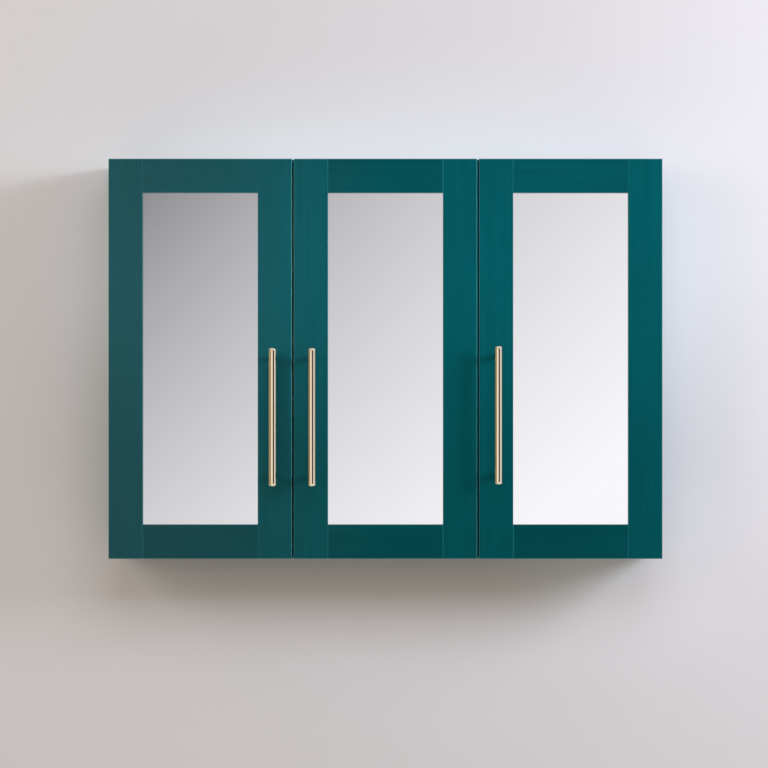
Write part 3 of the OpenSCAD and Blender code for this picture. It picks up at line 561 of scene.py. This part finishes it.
for order, door in enumerate(doors):
    def addDoorScrews(work):
        for i, (across, height) in enumerate(doorScrews["board"]):
            seat = doorPoint(door, across, doorScrews["boardDepth"], height)
            addScrew(work, "board", seat, 0.9 * i + order)
        for hinge in cabinet["hingeHeights"]:
            for i, side in enumerate(doorScrews["cupSides"]):
                seat = doorPoint(door, doorScrews["cupAcross"], doorScrews["cupDepth"], hinge + side)
                addScrew(work, "cup", seat, 0.5 + 1.7 * i + order)

    def addHandleBolts(work):
        for i, side in enumerate(handle["bolts"]):
            seat = doorPoint(door, handle["across"], handle["boltDepth"], handleMiddle(door) + side)
            addScrew(work, "bolt", seat, 0.3 + 1.1 * i)

    screws = meshPiece(door + "_door_screws", addDoorScrews, zinc, door + "_door")
    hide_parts(door + "_frame_screws")
    bolts = meshPiece(door + "_handle_bolts", addHandleBolts, zinc, door + "_door")
    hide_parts(door + "_handle_screws")
print("door screws made")

for door in doors:
    def addRoundBar(work):
        half = handle["length"] / 2
        radius, chamfer = handle["radius"], handle["chamfer"]
        steps = [(across, half - deep) for across, deep in handle["facing"]]
        steps += [(radius - across * chamfer, half - deep * chamfer) for across, deep in handle["rounding"]]
        steps += [(radius, half - 4.0), (radius, half * 0.5)]
        profile = steps + [(across, -height) for across, height in reversed(steps)]
        centre = doorPoint(door, handle["across"], -cabinet["doorThick"] + handle["out"], handleMiddle(door))
        rings = [circleRing(across, height, handle["sides"]) for across, height in profile]
        addRings(work, rings, centre, Matrix.Identity(3))
    bar = meshPiece(door + "_round_bar", addRoundBar, brass, door + "_door", 25.0)
    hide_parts(door + "_handle_bar")
print("handle bars made")

# stage in metres: a wall just behind the cabinet and a floor far below
stage = {
    "wall": 0.0006, "wallHalf": 1.3, "wallTop": 2.4,
    "floor": -2.05, "floorHalf": (3.4, 4.6),
    "wallPaint": (0.80, 0.782, 0.778, 1.0),
    "floorPaint": (0.72, 0.71, 0.70, 1.0),
    "cloud": 1.6, "cloudShade": 0.985,
    "roughness": 0.9, "specular": 0.1,
    # painted shade: out of the picture, near the lamps, the wall is painted darker to hold down their bright
    # spot
    "paintedShadeSpan": (0.66, 1.3), "paintedShadeLevel": 0.62,
}


def backdropFinish(name, colour, isWall):
    def inputs(tree):
        plain = stretched(tree)
        cloud = noise(tree, plain, stage["cloud"])
        shade = mixColour(tree, remap(tree, cloud), colour, shaded(colour, stage["cloudShade"]))
        if isWall:
            # painted shade towards the wall's ends
            ends = eased(tree, axesOf(tree, plain)[0], stage["paintedShadeSpan"], (1.0, stage["paintedShadeLevel"]))
            shade = timesVector(tree, shade, ends)
        return {"Base Color": shade, "Roughness": stage["roughness"], "Specular IOR Level": stage["specular"]}
    return newFinish(name, inputs, clearBehind=isWall)


def plane(name, corners, material):
    mesh = bpy.data.meshes.new(name)
    mesh.from_pydata(corners, [], [(0, 1, 2, 3)])
    mesh.materials.append(material)
    flat = bpy.data.objects.new(name, mesh)
    bpy.context.scene.collection.objects.link(flat)
    return flat


half, back = stage["wallHalf"], stage["wall"]
low, high = stage["floor"], stage["wallTop"]
backdrop = plane("wall", [(-half, back, low), (half, back, low), (half, back, high), (-half, back, high)],
                 backdropFinish("WallPaint", stage["wallPaint"], True))
backdrop.visible_shadow = False        # seen from behind, the lamps there still reach the back of the case
backdrop.visible_diffuse = False
backdrop.visible_glossy = False
wide, deep = stage["floorHalf"]
ground = plane("floor", [(-wide, -deep, low), (wide, -deep, low), (wide, deep, low), (-wide, deep, low)],
               backdropFinish("FloorPaint", stage["floorPaint"], False))
ground.visible_glossy = False

# lamps: softboxes at the right, above and left, soft spots for the doors, one low at the right corner,
# one that grazes the wall beside it, and two behind the wall for the back of the case
lamps = {
    "keyLamp": {"where": (2.75, -1.43, 0.57), "size": (1.2, 1.2), "watts": 34.5,
                "colour": (0.777, 0.98, 1.097)},
    "sideLamp": {"where": (1.70, -1.0, 0.25), "size": (0.8, 0.8), "watts": 9.6,
                 "colour": (1.064, 0.98, 1.294)},
    "topLamp": {"where": (0.25, -2.5, 1.30), "size": (1.8, 1.4), "watts": 19.5,
                "colour": (0.86, 0.98, 1.19)},
    "leftLamp": {"where": (-2.3, -2.2, 0.45), "size": (1.6, 1.6), "watts": 21.5,
                 "colour": (1.018, 0.98, 0.963)},
    "rightPool": {"where": (2.4, -1.35, 0.35), "spot": 11.0, "aim": (0.30, -0.15, -0.10),
                  "size": (0.6,), "watts": 190.0, "colour": (0.786, 0.98, 0.952)},
    "middlePool": {"where": (2.4, -1.35, 0.35), "spot": 11.0, "aim": (-0.05, -0.15, -0.10),
                   "size": (0.6,), "watts": 215.0, "colour": (0.786, 0.98, 1.087)},
    "leftSpot": {"where": (-0.75, -4.3, 0.05), "spot": 8.0, "stretch": 1.3, "aim": (-0.24, -0.15, -0.10),
                 "size": (0.2,), "watts": 75.0, "colour": (0.786, 0.98, 1.035)},
    "frontSpot": {"where": (-0.1, -4.5, -0.1), "spot": 8.5, "stretch": 2.0, "aim": (0.05, -0.15, -0.10),
                  "size": (0.2,), "watts": 98.0, "colour": (0.925, 0.98, 1.139)},
    "cornerLamp": {"where": (1.6, -1.5, -0.80), "spot": 12.0, "aim": (0.45, 0.0, -0.58),
                   "size": (0.12,), "watts": 12.0, "colour": (0.925, 0.98, 1.035)},
    "wallLamp": {"where": (1.9, -0.36, -0.44), "spot": 20.0, "aim": (0.62, 0.0, -0.42),
                 "size": (0.2,), "watts": 14.0, "colour": (0.925, 0.96, 1.014)},
    "backLamp": {"where": (-1.6, 2.6, 1.2), "size": (2.0, 2.0), "watts": 60.0,
                 "colour": (1.0, 0.995, 0.985)},
    "backLowLamp": {"where": (2.2, 2.4, 0.2), "size": (1.8, 1.8), "watts": 26.0,
                    "colour": (1.0, 0.995, 0.985)},
}
cabinetMiddle = (0.0, -0.1, -0.28)


def softLamp(name, spec):
    if "spot" in spec:
        lamp = bpy.data.lights.new(name, "SPOT")
        lamp.spot_size = math.radians(spec["spot"])
        lamp.spot_blend = 1.0
        lamp.shadow_soft_size = spec["size"][0] / 2
    else:
        lamp = bpy.data.lights.new(name, "AREA")
        lamp.shape = "RECTANGLE"
        lamp.size, lamp.size_y = spec["size"]
    lamp.energy = spec["watts"]
    lamp.color = spec["colour"]
    holder = bpy.data.objects.new(name, lamp)
    bpy.context.scene.collection.objects.link(holder)
    holder.location = spec["where"]
    aim = Vector(spec.get("aim", cabinetMiddle))
    holder.rotation_euler = (aim - Vector(spec["where"])).to_track_quat("-Z", "Y").to_euler()
    holder.scale = (spec.get("stretch", 1.0), 1.0, 1.0)
    holder.visible_glossy = False      # the room below shows what shines in metal and glass


for name, spec in lamps.items():
    softLamp(name, spec)

# room: even light for the surfaces, and for mirrors and metal a soft room with one dark flag
room = {
    "ambient": (1.0, 0.755, 0.513, 1.0), "ambientLevel": 0.298,
    "pale": (0.80, 0.79, 0.78, 1.0),          # what the camera sees past the wall
    # what the closed mirrors show: a tone that changes slowly across, down and to the corners
    "middle": 0.748, "across": 2.21, "curve": -2.3, "down": -2.36, "corner": 5.19,
    "limits": (0.24, 0.99), "mirrorTint": (0.985, 0.972, 1.0),
    "leastForward": 0.02,
    "near": (0.102, 0.115),    # it ends this far to the side, in radians,
    "nearSoft": 0.3,           # fades out more widely above and below the level band,
    "nearUp": (0.12, 0.32),    # and ends this far up and down
    # tones around the cabinet, by degrees from straight out, for the bars; the flag is at 2 to 47
    "around": (
        (-180, (0.34, 0.33, 0.32)), (-120, (0.30, 0.26, 0.21)), (-96, (0.34, 0.27, 0.19)),
        (-60, (0.36, 0.26, 0.15)), (-46, (0.61, 0.52, 0.41)), (-30, (1.0, 0.99, 0.98)),
        (-4, (1.0, 0.99, 0.98)), (2, (0.020, 0.008, 0.003)), (47, (0.020, 0.008, 0.003)),
        (54, (0.82, 0.80, 0.84)), (70, (0.86, 0.85, 0.90)), (88, (0.60, 0.70, 0.84)),
        (125, (0.50, 0.58, 0.68)), (180, (0.34, 0.33, 0.32)),
    ),
    "level": (0.055, 0.095),   # these tones fill a thin level band; above and below it the room is soft
    "soft": ((0.52, 0.50, 0.48, 1.0), (0.86, 0.85, 0.84, 1.0)), "softSpan": (-0.9, 0.9),
    "above": (0.90, 0.895, 0.89, 1.0), "aboveSpan": (0.30, 0.60),
    "below": (0.72, 0.70, 0.68, 1.0), "belowSpan": (-0.28, -0.50),
}
world = bpy.data.worlds.new("studio")
bpy.context.scene.world = world
world.use_nodes = True
tree = world.node_tree
tree.nodes.clear()


def background(colour, strength=1.0):
    return addNode(tree, "ShaderNodeBackground", {"Color": colour, "Strength": strength}).outputs[0]


toRight, toBack, height = axesOf(tree, addNode(tree, "ShaderNodeTexCoord").outputs["Generated"])
forward = calc(tree, "MAXIMUM", calc(tree, "ABSOLUTE", toBack), room["leastForward"])
side = calc(tree, "DIVIDE", toRight, forward)
rise = calc(tree, "DIVIDE", height, forward)
turned = calc(tree, "ARCTAN2", toRight, times(tree, toBack, -1.0))
offTurn = calc(tree, "ABSOLUTE", turned)
offHeight = calc(tree, "ABSOLUTE", height)

bright = room["middle"]
for term, share in ((side, "across"), (times(tree, side, side), "curve"), (rise, "down"),
                    (times(tree, side, rise), "corner")):
    bright = plus(tree, bright, times(tree, term, room[share]))
dimmest, brightest = room["limits"]
bright = calc(tree, "MINIMUM", calc(tree, "MAXIMUM", bright, dimmest), brightest)
inMirrors = timesVector(tree, room["mirrorTint"], bright)

ramp = addNode(tree, "ShaderNodeValToRGB", {0: plus(tree, calc(tree, "DIVIDE", turned, 2 * math.pi), 0.5)})
stops = ramp.color_ramp.elements
while len(stops) > 1:
    stops.remove(stops[-1])
for i, (angle, colour) in enumerate(room["around"]):
    place = (angle + 180) / 360
    stop = stops[0] if i == 0 else stops.new(place)
    stop.position = place
    stop.color = colour + (1.0,)

soft = mixColour(tree, eased(tree, toRight, room["softSpan"]), *room["soft"])
offLevel = eased(tree, offHeight, room["level"])
around = mixColour(tree, offLevel, ramp.outputs[0], soft)
around = mixColour(tree, eased(tree, height, room["aboveSpan"]), around, room["above"])
around = mixColour(tree, eased(tree, height, room["belowSpan"]), around, room["below"])
nearStart, nearEnd = room["near"]
fadeEnd = plus(tree, nearEnd, times(tree, offLevel, room["nearSoft"]))
away = calc(tree, "MAXIMUM", eased(tree, offTurn, (nearStart, fadeEnd)),
            eased(tree, offHeight, room["nearUp"]))
seen = background(mixColour(tree, away, inMirrors, around))
fill = background(room["ambient"], room["ambientLevel"])

path = addNode(tree, "ShaderNodeLightPath").outputs
shiny = calc(tree, "MAXIMUM", path["Is Glossy Ray"], path["Is Transmission Ray"])
mixed = addNode(tree, "ShaderNodeMixShader", {0: shiny, 1: fill, 2: seen}).outputs[0]
mixed = addNode(tree, "ShaderNodeMixShader",
                {0: path["Is Camera Ray"], 1: mixed, 2: background(room["pale"])}).outputs[0]
addNode(tree, "ShaderNodeOutputWorld", {"Surface": mixed})

# camera in metres: square in front of the cabinet
camera = {"where": (-0.0024, -4.20, -0.294), "lens": 116.9, "sensor": 36.0, "farthest": 60.0}
view = bpy.data.cameras.new("camera")
view.lens = camera["lens"]
view.sensor_width = camera["sensor"]
view.clip_end = camera["farthest"]
cameraHolder = bpy.data.objects.new("camera", view)
bpy.context.scene.collection.objects.link(cameraHolder)
cameraHolder.location = camera["where"]
cameraHolder.rotation_euler = (math.radians(90.0), 0.0, 0.0)
bpy.context.scene.camera = cameraHolder
bpy.context.scene.view_settings.view_transform = "Standard"
print("stage, lamps and camera set")
